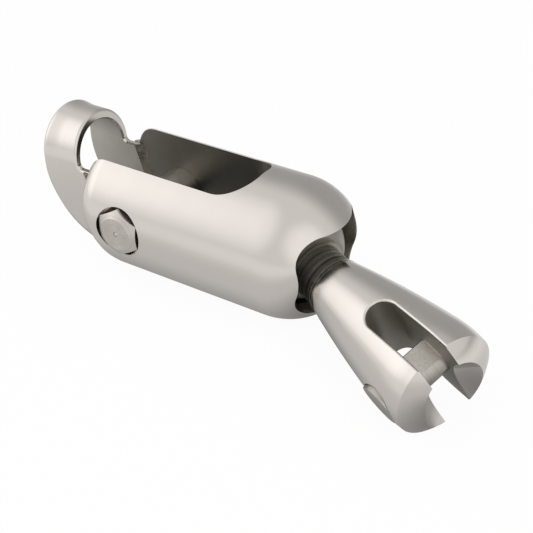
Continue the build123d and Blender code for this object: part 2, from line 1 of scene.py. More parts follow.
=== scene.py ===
"""Looks of an anchor swivel: finishes, small visual pieces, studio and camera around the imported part."""

import logging
import math
from dataclasses import dataclass
from enum import Enum

import bpy
from mathutils import Matrix, Vector


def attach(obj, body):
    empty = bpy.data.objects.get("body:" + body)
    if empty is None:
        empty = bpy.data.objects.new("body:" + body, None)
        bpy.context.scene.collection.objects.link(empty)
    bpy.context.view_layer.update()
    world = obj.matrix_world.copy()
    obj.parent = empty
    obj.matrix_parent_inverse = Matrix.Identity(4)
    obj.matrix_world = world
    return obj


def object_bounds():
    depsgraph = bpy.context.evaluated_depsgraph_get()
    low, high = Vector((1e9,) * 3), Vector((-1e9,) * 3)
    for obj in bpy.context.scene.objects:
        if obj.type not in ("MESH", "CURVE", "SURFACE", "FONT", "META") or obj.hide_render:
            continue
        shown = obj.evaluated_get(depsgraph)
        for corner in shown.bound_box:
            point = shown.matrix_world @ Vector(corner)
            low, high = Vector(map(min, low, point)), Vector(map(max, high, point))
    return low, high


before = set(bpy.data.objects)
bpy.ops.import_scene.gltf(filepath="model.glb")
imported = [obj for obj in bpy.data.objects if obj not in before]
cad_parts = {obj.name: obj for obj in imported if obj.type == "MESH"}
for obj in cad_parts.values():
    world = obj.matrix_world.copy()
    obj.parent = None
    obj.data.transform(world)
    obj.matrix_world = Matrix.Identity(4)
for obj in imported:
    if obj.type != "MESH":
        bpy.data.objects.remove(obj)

LOG = logging.getLogger("anchor_swivel")
CAD_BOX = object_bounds()
MM = 0.001

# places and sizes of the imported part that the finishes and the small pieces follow, in millimetres
BALL_CENTRE = 52.7
BODY_RADIUS = 24.0
CHANNEL_HALF = 13.4
CHANNEL_END = 42.1
CHANNEL_FLOOR = -16.0
ARCH_HEIGHT = 13.3
HORN_INNER = 11.3
SLOT_HALF = 4.9
SLOT_START = 48.0
CHAIN_PIN_STATION = 65.6
NECK_RADIUS = 9.1
NECK_START = 15.6
CONE_START = 24.0
CONE_START_RADIUS = 9.6
CONE_SLOPE = 0.19
HEAD_FACE = 25.0

# how far past its nominal wall each inner surface is still counted as inside, in millimetres
SLOT_SKIN = 0.04
SLOT_END_SKIN = 0.05
HORN_SKIN = 0.1
CHANNEL_SKIN = 0.02
CHANNEL_END_SKIN = 0.1
RIM_SKIN = 0.3
JAW_YAW = 23.5
JAW_DROP = 5.5
JAW_ROLL = 28.0


class Body(Enum):
    """The bodies that the small pieces ride on."""

    ANCHOR_BOLT = "anchor_bolt"
    JAW = "jaw"


class Inside(Enum):
    """The inner surfaces that polishing doesn't reach and that take a painted shade, by piece."""

    NONE = "none"
    BODY = "body"
    HORN = "horn"
    JAW = "jaw"


class Turning(Enum):
    """The axis that tool marks run round."""

    PIN = "pin"
    CHAIN_PIN = "chain_pin"
    JAW = "jaw"


# ---------------------------------------------------------------- colours, nodes and frames
def linear(code: str) -> tuple[float, float, float, float]:
    """Turn an sRGB hex colour into a linear one.

    Args:
        code: six hex digits, with or without a leading #.

    Returns:
        Linear red, green, blue and an alpha of 1.
    """
    digits = code.lstrip("#")
    channels = [int(digits[i:i + 2], 16) / 255 for i in (0, 2, 4)]
    curve = [c / 12.92 if c <= 0.04045 else ((c + 0.055) / 1.055) ** 2.4 for c in channels]
    return (*curve, 1.0)


def add_node(tree: bpy.types.NodeTree, kind: str, settings: dict | None = None,
             inputs: dict | None = None) -> bpy.types.Node:
    """Add one node to a tree, with its settings and its inputs.

    Args:
        tree: the node tree.
        kind: the node's type name.
        settings: attributes set on the node.
        inputs: input name or number to a constant, or to the output socket that feeds it.

    Returns:
        The new node.
    """
    node = tree.nodes.new(kind)
    for name, value in (settings or {}).items():
        setattr(node, name, value)
    for name, value in (inputs or {}).items():
        if isinstance(value, bpy.types.NodeSocket):
            tree.links.new(value, node.inputs[name])
        else:
            node.inputs[name].default_value = value
    return node


def jaw_turn() -> Matrix:
    """The jaw's turn at rest: its own X is its axis, its own Y its pin's axis."""
    yaw = Matrix.Rotation(math.radians(-JAW_YAW), 4, "Z")
    drop = Matrix.Rotation(math.radians(JAW_DROP), 4, "Y")
    roll = Matrix.Rotation(math.radians(JAW_ROLL), 4, "X")
    return yaw @ drop @ roll


def jaw_frame() -> Matrix:
    """The jaw's own frame at rest, with its origin at the ball's centre."""
    return Matrix.Translation((BALL_CENTRE * MM, 0, 0)) @ jaw_turn()


@dataclass
class Pattern:
    """The nodes that measure places on a surface, in millimetres, for one material."""

    tree: bpy.types.NodeTree

    def math(self, operation: str, first: object, second: object = 0.0) -> bpy.types.NodeSocket:
        """One sum on two numbers or sockets.

        Args:
            operation: the Math node's operation.
            first: the first number or socket.
            second: the second number or socket.

        Returns:
            The result's socket.
        """
        return add_node(self.tree, "ShaderNodeMath", {"operation": operation}, {0: first, 1: second}).outputs[0]

    def place(self) -> bpy.types.NodeSocket:
        """Object coordinates in millimetres."""
        coords = add_node(self.tree, "ShaderNodeTexCoord").outputs["Object"]
        return add_node(self.tree, "ShaderNodeVectorMath", {"operation": "SCALE"},
                        {0: coords, "Scale": 1 / MM}).outputs[0]

    def jaw_place(self) -> bpy.types.NodeSocket:
        """Place in the jaw's own frame at rest, in millimetres."""
        moved = add_node(self.tree, "ShaderNodeVectorMath", {"operation": "SUBTRACT"},
                         {0: self.place(), 1: (BALL_CENTRE, 0, 0)}).outputs[0]
        turn = jaw_turn().to_3x3()
        parts = [add_node(self.tree, "ShaderNodeVectorMath", {"operation": "DOT_PRODUCT"},
                          {0: moved, 1: tuple(turn.col[i])}).outputs["Value"] for i in range(3)]
        return add_node(self.tree, "ShaderNodeCombineXYZ", {}, dict(enumerate(parts))).outputs[0]

    def split(self, place: bpy.types.NodeSocket) -> list[bpy.types.NodeSocket]:
        """The X, Y and Z of a place."""
        return list(add_node(self.tree, "ShaderNodeSeparateXYZ", {}, {0: place}).outputs)

    def ramp(self, value: bpy.types.NodeSocket, start: float, end: float,
             low: float = 0.0, high: float = 1.0) -> bpy.types.NodeSocket:
        """Follow a value smoothly from low at start to high at end.

        Args:
            value: the socket to follow.
            start: where the change begins.
            end: where it is complete.
            low: the result at and before start.
            high: the result at and after end.

        Returns:
            The result's socket.
        """
        return add_node(self.tree, "ShaderNodeMapRange", {"interpolation_type": "SMOOTHSTEP"}, {
            "Value": value, "From Min": start, "From Max": end, "To Min": low, "To Max": high}).outputs["Result"]

    def noise(self, place: bpy.types.NodeSocket, size: float, detail: float = 2.0) -> bpy.types.NodeSocket:
        """Soft noise whose blotches are about size millimetres across."""
        return add_node(self.tree, "ShaderNodeTexNoise", {}, {
            "Vector": place, "Scale": 1 / size, "Detail": detail}).outputs["Fac"]

    def below(self, value: bpy.types.NodeSocket, limit: float) -> bpy.types.NodeSocket:
        """1 where a value is under a limit, 0 elsewhere."""
        return self.math("LESS_THAN", value, limit)

    def above(self, value: bpy.types.NodeSocket, limit: float) -> bpy.types.NodeSocket:
        """1 where a value is over a limit, 0 elsewhere."""
        return self.math("GREATER_THAN", value, limit)

    def both(self, *masks: bpy.types.NodeSocket) -> bpy.types.NodeSocket:
        """1 only where every mask is 1."""
        result = masks[0]
        for mask in masks[1:]:
            result = self.math("MULTIPLY", result, mask)
        return result

    def length(self, *parts: bpy.types.NodeSocket) -> bpy.types.NodeSocket:
        """The length of a vector from its parts."""
        squares = [self.math("MULTIPLY", part, part) for part in parts]
        total = squares[0]
        for square in squares[1:]:
            total = self.math("ADD", total, square)
        return self.math("SQRT", total)

    def inside(self, where: Inside) -> bpy.types.NodeSocket:
        """The mask of a piece's inner surfaces.

        Args:
            where: which piece the material is on.

        Returns:
            A socket that is 1 on inner surfaces and 0 outside.
        """
        if where is Inside.JAW:
            along, across, _ = self.split(self.jaw_place())
            rounded = self.math("MAXIMUM", self.math("SUBTRACT", SLOT_START + SLOT_HALF, along), 0.0)
            return self.both(self.above(along, SLOT_START - SLOT_END_SKIN),
                             self.below(self.length(rounded, across), SLOT_HALF + SLOT_SKIN))
        along, across, up = self.split(self.place())
        width = self.math("ABSOLUTE", across)
        if where is Inside.HORN:
            risen = self.math("MAXIMUM", self.math("SUBTRACT", up, ARCH_HEIGHT), 0.0)
            return self.below(self.length(across, risen), HORN_INNER + HORN_SKIN)
        channel = self.both(self.below(width, CHANNEL_HALF + CHANNEL_SKIN),
                            self.below(along, CHANNEL_END + CHANNEL_END_SKIN),
                            self.above(up, CHANNEL_FLOOR - CHANNEL_END_SKIN),
                            self.below(self.length(across, up), BODY_RADIUS - RIM_SKIN))
        from_ball = self.length(self.math("SUBTRACT", along, BALL_CENTRE), across, up)
        socket = self.both(self.above(along, CHANNEL_END), self.below(from_ball, BODY_RADIUS - RIM_SKIN))
        return self.math("MAXIMUM", channel, socket)

    def rings(self, axis: Turning, pitch: float) -> bpy.types.NodeSocket:
        """The height of tool marks that run round an axis.

        Args:
            axis: the axis that the marks run round.
            pitch: millimetres from mark to mark.

        Returns:
            A socket from 0 to 1.
        """
        if axis is Turning.PIN:
            along, across, up = self.split(self.place())
            radius = self.length(along, up)
        elif axis is Turning.CHAIN_PIN:
            along, across, up = self.split(self.jaw_place())
            radius = self.length(self.math("SUBTRACT", along, CHAIN_PIN_STATION), up)
        else:
            across, side, rise = self.split(self.jaw_place())
            radius = self.length(side, rise)
        mark = add_node(self.tree, "ShaderNodeCombineXYZ", {}, {0: radius, 1: across}).outputs[0]
        return add_node(self.tree, "ShaderNodeTexNoise", {"noise_dimensions": "2D"}, {
            "Vector": mark, "Scale": 1 / pitch, "Detail": 3.0}).outputs["Fac"]

    def mix(self, share: bpy.types.NodeSocket, first: object, second: object,
            kind: str = "FLOAT") -> bpy.types.NodeSocket:
        """Blend two numbers or two colours.

        Args:
            share: how much of the second is taken.
            first: number, colour or socket at a share of 0.
            second: number, colour or socket at a share of 1.
            kind: FLOAT or RGBA.

        Returns:
            The result's socket.
        """
        number = {"FLOAT": (2, 3, 0), "RGBA": (6, 7, 2)}[kind]
        node = add_node(self.tree, "ShaderNodeMix", {"data_type": kind},
                        {0: share, number[0]: first, number[1]: second})
        return node.outputs[number[2]]

    def bump(self, height: bpy.types.NodeSocket, depth: float, strength: object = 1.0,
             normal: bpy.types.NodeSocket | None = None) -> bpy.types.NodeSocket:
        """Raise and sink the surface.

        Args:
            height: the pattern, from 0 to 1.
            depth: how deep the whole pattern is, in millimetres.
            strength: how much of it shows, a number or a mask.
            normal: a normal that the pattern adds to.

        Returns:
            The normal's socket.
        """
        inputs = {"Height": height, "Distance": depth * MM, "Strength": strength}
        if normal is not None:
            inputs["Normal"] = normal
        return add_node(self.tree, "ShaderNodeBump", {}, inputs).outputs["Normal"]


def metal(title: str) -> tuple[bpy.types.Material, Pattern, bpy.types.Node]:
    """Start a material for bare metal.

    Args:
        title: the material's name.

    Returns:
        The material, its patterns and its shader.
    """
    material = bpy.data.materials.new(title)
    material.use_nodes = True
    shader = material.node_tree.nodes["Principled BSDF"]
    shader.inputs["Metallic"].default_value = 1.0
    return material, Pattern(material.node_tree), shader


# ---------------------------------------------------------------- finishes
@dataclass(frozen=True)
class PolishedSteel:
    """Cast stainless, buffed bright outside and left as machined inside.

    Buffing gives soft, wide reflections without grain, very slightly wavy. The inner walls, which
    the wheel doesn't reach, stay duller, and their darker colour is painted shade of the hollows.

    Attributes:
        title: the material's name.
        colour: sRGB hex of the buffed metal.
        inner_painted_shade: sRGB hex of the metal inside, darkened as painted shade of the hollows.
        inner_shade_and_stain: sRGB hex of its darker patches, which vary at random over the same painted shade.
        inside: the inner surfaces of the piece.
        roughness: roughness of the buffed metal.
        inner_roughness: roughness inside.
        smear_size: width of the faint smears, in mm.
        smear: roughness that the smears add.
        wave_size: distance between the soft waves, in mm.
        wave_depth: their depth, in mm.
        grit: width of the inner tool marks, in mm, drawn coarse enough to show.
        socket_painted_shade: sRGB hex of the metal round the ball, a lighter painted shade than the channel's.
        socket_fade: distance over which it takes over from the channel's, in mm.
        patch: width of the darker patches inside, in mm.
        grit_depth: depth of the inner tool marks, in mm.
        neck_machined_and_shade: sRGB hex of the unpolished neck, darkened also as painted shade of the socket's
            opening.
        neck_mark_bottom_and_shade: sRGB hex of the bottoms of its tool marks, darker still, also painted shade
            of the socket's opening.
        neck_roughness: its roughness.
        neck_edge: where along the jaw's axis it gives way to buffed metal, in mm from the ball's centre.
        ragged_size: width of the rags in that edge, in mm.
        ragged_reach: how far they reach, in mm.
        mark_pitch: distance between the neck's tool marks, in mm, drawn coarse enough to show.
        mark_depth: their depth, in mm.
        neck_marks: whether the piece has the jaw's turned, unpolished neck.
    """

    title: str
    inside: Inside = Inside.NONE
    colour: str = "#D7D1CB"
    inner_painted_shade: str = "#918E86"
    inner_shade_and_stain: str = "#7B7870"
    roughness: float = 0.15
    inner_roughness: float = 0.42
    smear_size: float = 16.0
    smear: float = 0.05
    wave_size: float = 11.0
    wave_depth: float = 0.05
    grit: float = 0.9
    socket_painted_shade: str = "#B4B0A7"
    socket_fade: float = 4.0
    patch: float = 9.0
    grit_depth: float = 0.03
    neck_machined_and_shade: str = "#A8A39A"
    neck_mark_bottom_and_shade: str = "#6E6A63"
    neck_roughness: float = 0.42
    neck_edge: tuple[float, float] = (25.5, 30.0)
    ragged_size: float = 5.0
    ragged_reach: float = 8.0
    mark_pitch: float = 0.8
    mark_depth: float = 0.02
    neck_marks: bool = False

    def build(self) -> bpy.types.Material:
        """Make the material.

        Returns:
            The new material.
        """
        material, pattern, shader = metal(self.title)
        tree, place = material.node_tree, pattern.place()
        smear = pattern.ramp(pattern.noise(place, self.smear_size, 3.0), 0.35, 0.75,
                             self.roughness, self.roughness + self.smear)
        normal = pattern.bump(pattern.noise(place, self.wave_size, 1.0), self.wave_depth)
        colour: object = linear(self.colour)
        if self.inside is not Inside.NONE:
            # painted shade: inner walls take a darker colour for the shade in their hollows; their higher
            # roughness is the real unbuffed metal
            mask = pattern.inside(self.inside)
            shade_and_stains = pattern.mix(pattern.noise(place, self.patch, 3.0), linear(self.inner_painted_shade),
                                linear(self.inner_shade_and_stain), "RGBA")
            if self.inside is Inside.BODY:
                # painted shade round the ball, lighter than in the channel
                forward = pattern.ramp(pattern.split(place)[0], CHANNEL_END,
                                       CHANNEL_END + self.socket_fade)
                shade_and_stains = pattern.mix(forward, shade_and_stains, linear(self.socket_painted_shade), "RGBA")
            colour = pattern.mix(mask, colour, shade_and_stains, "RGBA")
            smear = pattern.mix(mask, smear, self.inner_roughness)
            normal = pattern.bump(pattern.noise(place, self.grit, 3.0), self.grit_depth, mask, normal)
        if self.neck_marks:
            # painted shade: the neck's darker colours stand partly for its machined metal and partly for the
            # shade of the socket's opening
            along = pattern.split(pattern.jaw_place())[0]
            rags = pattern.math("MULTIPLY", pattern.noise(place, self.ragged_size, 5.0), self.ragged_reach)
            neck = pattern.ramp(pattern.math("ADD", along, rags), *self.neck_edge, 1.0, 0.0)
            marks = pattern.rings(Turning.JAW, self.mark_pitch)
            shaded_neck = pattern.mix(pattern.ramp(marks, 0.35, 0.75), linear(self.neck_mark_bottom_and_shade),
                               linear(self.neck_machined_and_shade), "RGBA")
            colour = pattern.mix(neck, colour, shaded_neck, "RGBA")
            smear = pattern.mix(neck, smear, self.neck_roughness)
            normal = pattern.bump(marks, self.mark_depth, neck, normal)
        if isinstance(colour, bpy.types.NodeSocket):
            tree.links.new(colour, shader.inputs["Base Color"])
        else:
            shader.inputs["Base Color"].default_value = colour
        tree.links.new(smear, shader.inputs["Roughness"])
        tree.links.new(normal, shader.inputs["Normal"])
        return material


@dataclass(frozen=True)
class TurnedSteel:
    """Stainless turned on a lathe and left so: fine rings that spread the light across them.

    Attributes:
        title: the material's name.
        colour: sRGB hex of the metal.
        axis: the axis that the rings run round.
        pitch: distance between rings, in mm, drawn coarser than the tool's feed so that they show.
        depth: depth of the rings, in mm.
        roughness: roughness between the rings.
        ring_bottom_colour: sRGB hex that the rings' bottoms take, darker than the metal between them.
    """

    title: str
    colour: str
    axis: Turning
    pitch: float
    depth: float
    roughness: float
    ring_bottom_colour: str

    def build(self) -> bpy.types.Material:
        """Make the material.

        Returns:
            The new material.
        """
        material, pattern, shader = metal(self.title)
        tree = material.node_tree
        marks = pattern.rings(self.axis, self.pitch)
        # the rings' bottoms are drawn darker than the metal between them
        colour = pattern.mix(pattern.ramp(marks, 0.3, 0.6), linear(self.ring_bottom_colour), linear(self.colour), "RGBA")
        rough = pattern.ramp(pattern.noise(pattern.place(), 3.0, 3.0), 0.3, 0.7,
                             self.roughness, self.roughness + 0.1)
        tree.links.new(colour, shader.inputs["Base Color"])
        tree.links.new(rough, shader.inputs["Roughness"])
        tree.links.new(pattern.bump(marks, self.depth), shader.inputs["Normal"])
        return material


@dataclass(frozen=True)
class FastenerSteel:
    """Plain rolled stainless of small screws and nuts: even, a little dull, with fine specks.

    Attributes:
        title: the material's name.
        colour: sRGB hex of the metal.
        roughness: its roughness.
        speck: width of the specks, in mm.
    """

    title: str
    colour: str
    roughness: float
    speck: float

    def build(self) -> bpy.types.Material:
        """Make the material.

        Returns:
            The new material.
        """
        material, pattern, shader = metal(self.title)
        tree = material.node_tree
        specks = pattern.noise(pattern.place(), self.speck, 4.0)
        rough = pattern.ramp(specks, 0.35, 0.7, self.roughness, self.roughness + 0.12)
        shader.inputs["Base Color"].default_value = linear(self.colour)
        tree.links.new(rough, shader.inputs["Roughness"])
        tree.links.new(pattern.bump(specks, 0.02), shader.inputs["Normal"])
        return material


@dataclass(frozen=True)
class BearingBronze:
    """Turned bearing bronze: warm metal with browner patches where it has worn in.

    Attributes:
        title: the material's name.
        colour: sRGB hex of fresh bronze.
        worn: sRGB hex of worn bronze.
        patch: width of the patches, in mm.
    """

    title: str
    colour: str
    worn: str
    patch: float

    def build(self) -> bpy.types.Material:
        """Make the material.

        Returns:
            The new material.
        """
        material, pattern, shader = metal(self.title)
        tree = material.node_tree
        patches = pattern.ramp(pattern.noise(pattern.place(), self.patch, 4.0), 0.4, 0.65)
        tree.links.new(pattern.mix(patches, linear(self.colour), linear(self.worn), "RGBA"),
                       shader.inputs["Base Color"])
        tree.links.new(pattern.ramp(patches, 0.0, 1.0, 0.3, 0.45), shader.inputs["Roughness"])
        tree.links.new(pattern.bump(pattern.rings(Turning.JAW, 0.5), 0.03), shader.inputs["Normal"])
        return material


@dataclass(frozen=True)
class Acetal:
    """Machined black acetal: a soft sheen over faint tool marks.

    Attributes:
        title: the material's name.
        colour: sRGB hex of the plastic.
        roughness: its roughness.
        grain: width of the tool marks, in mm.
    """

    title: str
    colour: str
    roughness: float
    grain: float

    def build(self) -> bpy.types.Material:
        """Make the material.

        Returns:
            The new material.
        """
        material, pattern, shader = metal(self.title)
        tree = material.node_tree
        shader.inputs["Metallic"].default_value = 0.0
        shader.inputs["IOR"].default_value = 1.48
        shader.inputs["Base Color"].default_value = linear(self.colour)
        grain = pattern.noise(pattern.place(), self.grain, 3.0)
        tree.links.new(pattern.ramp(grain, 0.3, 0.7, self.roughness, self.roughness + 0.12),
                       shader.inputs["Roughness"])
        tree.links.new(pattern.bump(grain, 0.02), shader.inputs["Normal"])
        return material


# the inner colours given below are painted shade of each piece's hollows
BODY_STEEL = PolishedSteel("buffed_stainless_body_painted_inner_shade", Inside.BODY)
HORN_STEEL = PolishedSteel("buffed_stainless_horn_painted_inner_shade", Inside.HORN, inner_painted_shade="#C2BFB8",
                           inner_shade_and_stain="#B0ADA5", inner_roughness=0.5)
JAW_STEEL = PolishedSteel("buffed_stainless_jaw_painted_shade", Inside.JAW, inner_painted_shade="#BAB6AE",
                          inner_shade_and_stain="#A5A198", inner_roughness=0.5, neck_marks=True)
WELD_STEEL = PolishedSteel("ground_stainless_weld", Inside.NONE, colour="#C9C3BC", roughness=0.26,
                           smear_size=3.0, smear=0.12, wave_size=2.2, wave_depth=0.12)
BALL_STEEL = TurnedSteel("turned_stainless_ball", "#A8A39A", Turning.JAW, 0.5, 0.012, 0.36, "#918C83")
WASHER_STEEL = TurnedSteel("turned_stainless_washer", "#B5B0A7", Turning.JAW, 0.5, 0.01, 0.34, "#A19C93")
PIN_STEEL = TurnedSteel("fine_turned_stainless_pin", "#CEC8C1", Turning.PIN, 0.45, 0.008, 0.26, "#C4BEB7")
CHAIN_PIN_STEEL = TurnedSteel("fine_turned_stainless_chain_pin", "#B9B4AC", Turning.CHAIN_PIN, 0.4, 0.006,
                              0.28, "#ADA79F")
SCREW_STEEL = FastenerSteel("plain_stainless_fastener", "#BDB7B0", 0.34, 0.8)
BRONZE = BearingBronze("plain_bearing_bronze", "#B38A54", "#7A5A36", 2.5)
SEAT_ACETAL = Acetal("machined_black_acetal", "#202022", 0.38, 0.7)


def dress(node: str, material: bpy.types.Material) -> None:
    """Give every slot of a CAD node one material.

    Args:
        node: the CAD node's name.
        material: the material it gets.
    """
    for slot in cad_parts[node].material_slots:
        slot.material = material
    LOG.info("dressed %s with %s", node, material.name)


# ---------------------------------------------------------------- small pieces
RING_STEPS = 128
RING_SIDES = 6


def ring_tree() -> bpy.types.NodeTree:
    """Geometry Nodes that lay fine raised rings along Z, growing from one radius to another.

    Returns:
        The node tree, whose inputs ToolRings sets.
    """
    tree = bpy.data.node_groups.new("tool_rings", "GeometryNodeTree")
    face = tree.interface
    face.new_socket("Geometry", in_out="OUTPUT", socket_type="NodeSocketGeometry")
    for name, kind in (("Count", "Int"), ("Step", "Float"), ("First Radius", "Float"), ("Growth", "Float"),
                       ("Thickness", "Float"), ("Scatter", "Float"), ("Seed", "Int"), ("Material", "Material")):
        face.new_socket(name, in_out="INPUT", socket_type="NodeSocket" + kind)
    given = add_node(tree, "NodeGroupInput").outputs
    pattern = Pattern(tree)
    offset = add_node(tree, "ShaderNodeCombineXYZ", {}, {2: given["Step"]}).outputs[0]
    line = add_node(tree, "GeometryNodeMeshLine", {}, {"Count": given["Count"], "Offset": offset}).outputs[0]
    chance = add_node(tree, "FunctionNodeRandomValue", {"data_type": "FLOAT"},
                      {2: -1.0, 3: 1.0, "Seed": given["Seed"]}).outputs[1]
    shift = pattern.math("MULTIPLY", chance, given["Scatter"])
    moved = add_node(tree, "ShaderNodeCombineXYZ", {}, {2: pattern.math("MULTIPLY", shift, given["Step"])})
    points = add_node(tree, "GeometryNodeSetPosition", {}, {"Geometry": line, "Offset": moved.outputs[0]})
    turns = add_node(tree, "GeometryNodeInputIndex").outputs[0]
    radius = pattern.math("ADD", given["First Radius"],
                          pattern.math("MULTIPLY", pattern.math("ADD", turns, shift), given["Growth"]))
    around = add_node(tree, "GeometryNodeCurvePrimitiveCircle", {}, {"Resolution": RING_STEPS, "Radius": 1.0})
    across = add_node(tree, "GeometryNodeCurvePrimitiveCircle", {}, {
        "Resolution": RING_SIDES, "Radius": pattern.math("DIVIDE", given["Thickness"], given["First Radius"])})
    ring = add_node(tree, "GeometryNodeCurveToMesh", {}, {
        "Curve": around.outputs[0], "Profile Curve": across.outputs[0]}).outputs[0]
    scale = add_node(tree, "ShaderNodeCombineXYZ", {}, {0: radius, 1: radius, 2: radius}).outputs[0]
    rings = add_node(tree, "GeometryNodeInstanceOnPoints", {}, {
        "Points": points.outputs[0], "Instance": ring, "Scale": scale}).outputs[0]
    solid = add_node(tree, "GeometryNodeRealizeInstances", {}, {"Geometry": rings}).outputs[0]
    dressed = add_node(tree, "GeometryNodeSetMaterial", {}, {
        "Geometry": solid, "Material": given["Material"]}).outputs[0]
    add_node(tree, "NodeGroupOutput", {}, {"Geometry": dressed})
    return tree


@dataclass(frozen=True)
class ToolRings:
    """Fine raised rings that a lathe tool leaves on a turned face or neck.

    Attributes:
        name: the piece's name.
        body: the body that it rides on.
        slot: the name of a material slot; not used, the rings take the material that build is given.
        count: number of rings.
        step: distance between them along the axis, in mm.
        first_radius: radius of the first, in mm.
        growth: how much the radius grows from ring to ring, in mm.
        thickness: half the thickness of a ring, in mm.
        scatter: how far a ring strays from its place, as a share of the step.
        seed: seed of that straying.
    """

    name: str
    body: Body
    slot: str
    count: int
    step: float
    first_radius: float
    growth: float
    thickness: float
    scatter: float
    seed: int

    def build(self, tree: bpy.types.NodeTree, material: bpy.types.Material, place: Matrix) -> bpy.types.Object:
        """Make the rings and hand them to the frame.

        Args:
            tree: the tree that ring_tree made.
            material: the rings' material.
            place: from the rings' own axis, Z, to the part, in metres.

        Returns:
            The new piece.
        """
        source = bpy.data.objects.new(self.name + "_source", bpy.data.meshes.new(self.name + "_source"))
        bpy.context.scene.collection.objects.link(source)
        modifier = source.modifiers.new("rings", "NODES")
        modifier.node_group = tree
        values = {"Count": self.count, "Step": self.step * MM, "First Radius": self.first_radius * MM,
                  "Growth": self.growth * MM, "Thickness": self.thickness * MM, "Scatter": self.scatter,
                  "Seed": self.seed, "Material": material}
        for item in tree.interface.items_tree:
            if item.in_out == "INPUT":
                modifier[item.identifier] = values[item.name]
        baked = bpy.data.meshes.new_from_object(source.evaluated_get(bpy.context.evaluated_depsgraph_get()))
        source.modifiers.clear()
        bpy.data.objects.remove(source)
        baked.name = self.name
        baked.transform(place)
        piece = bpy.data.objects.new(self.name, baked)
        bpy.context.scene.collection.objects.link(piece)
        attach(piece, self.body.value)
        LOG.info("added %s: %d rings, %d faces", self.name, self.count, len(baked.polygons))
        return piece


@dataclass
class JawNeck:
    """The lathe's marks on the jaw's unpolished neck and on the start of its cone."""

    marks: ToolRings = ToolRings("neck_tool_rings", Body.JAW, "machined_stainless", 7, 0.85, NECK_RADIUS, 0.0,
                                 0.025, 0.3, 3)
    cone_marks: ToolRings = ToolRings("cone_tool_rings", Body.JAW, "machined_stainless", 6, 1.1,
                                      CONE_START_RADIUS + 0.05, 1.1 * CONE_SLOPE, 0.025, 0.3, 8)

    def build(self, tree: bpy.types.NodeTree, material: bpy.types.Material) -> None:
        """Make both sets of rings.

        Args:
            tree: the tree that ring_tree made.
            material: the rings' material.
        """
        along = Matrix.Rotation(math.radians(90), 4, "Y")
        for marks, start in ((self.marks, NECK_START), (self.cone_marks, CONE_START)):
            marks.build(tree, material, jaw_frame() @ Matrix.Translation((start * MM, 0, 0)) @ along)


@dataclass
class AnchorPinHead:
    """The facing marks on the anchor pin's head."""

    marks: ToolRings = ToolRings("pin_head_tool_rings", Body.ANCHOR_BOLT, "pin_stainless", 9, 0.0, 1.5, 0.5,
                                 0.02, 0.25, 5)

    def build(self, tree: bpy.types.NodeTree, material: bpy.types.Material) -> None:
        """Make the rings.

        Args:
            tree: the tree that ring_tree made.
            material: the rings' material.
        """
        facing = Matrix.Rotation(math.radians(90), 4, "X")
        self.marks.build(tree, material, Matrix.Translation((0, -HEAD_FACE * MM, 0)) @ facing)


# ---------------------------------------------------------------- studio
@dataclass(frozen=True)
class Glow:
    """A bright place on the tent, with a soft edge.

    Attributes:
        towards: the way it lies from the middle of the floor.
        core: angle from its middle within which it is full, in degrees.
        edge: angle at which it has faded out, in degrees.
        gain: brightness that it adds, or takes away where it is negative.
    """

    towards: tuple[float, float, float]
    core: float
    edge: float
    gain: float


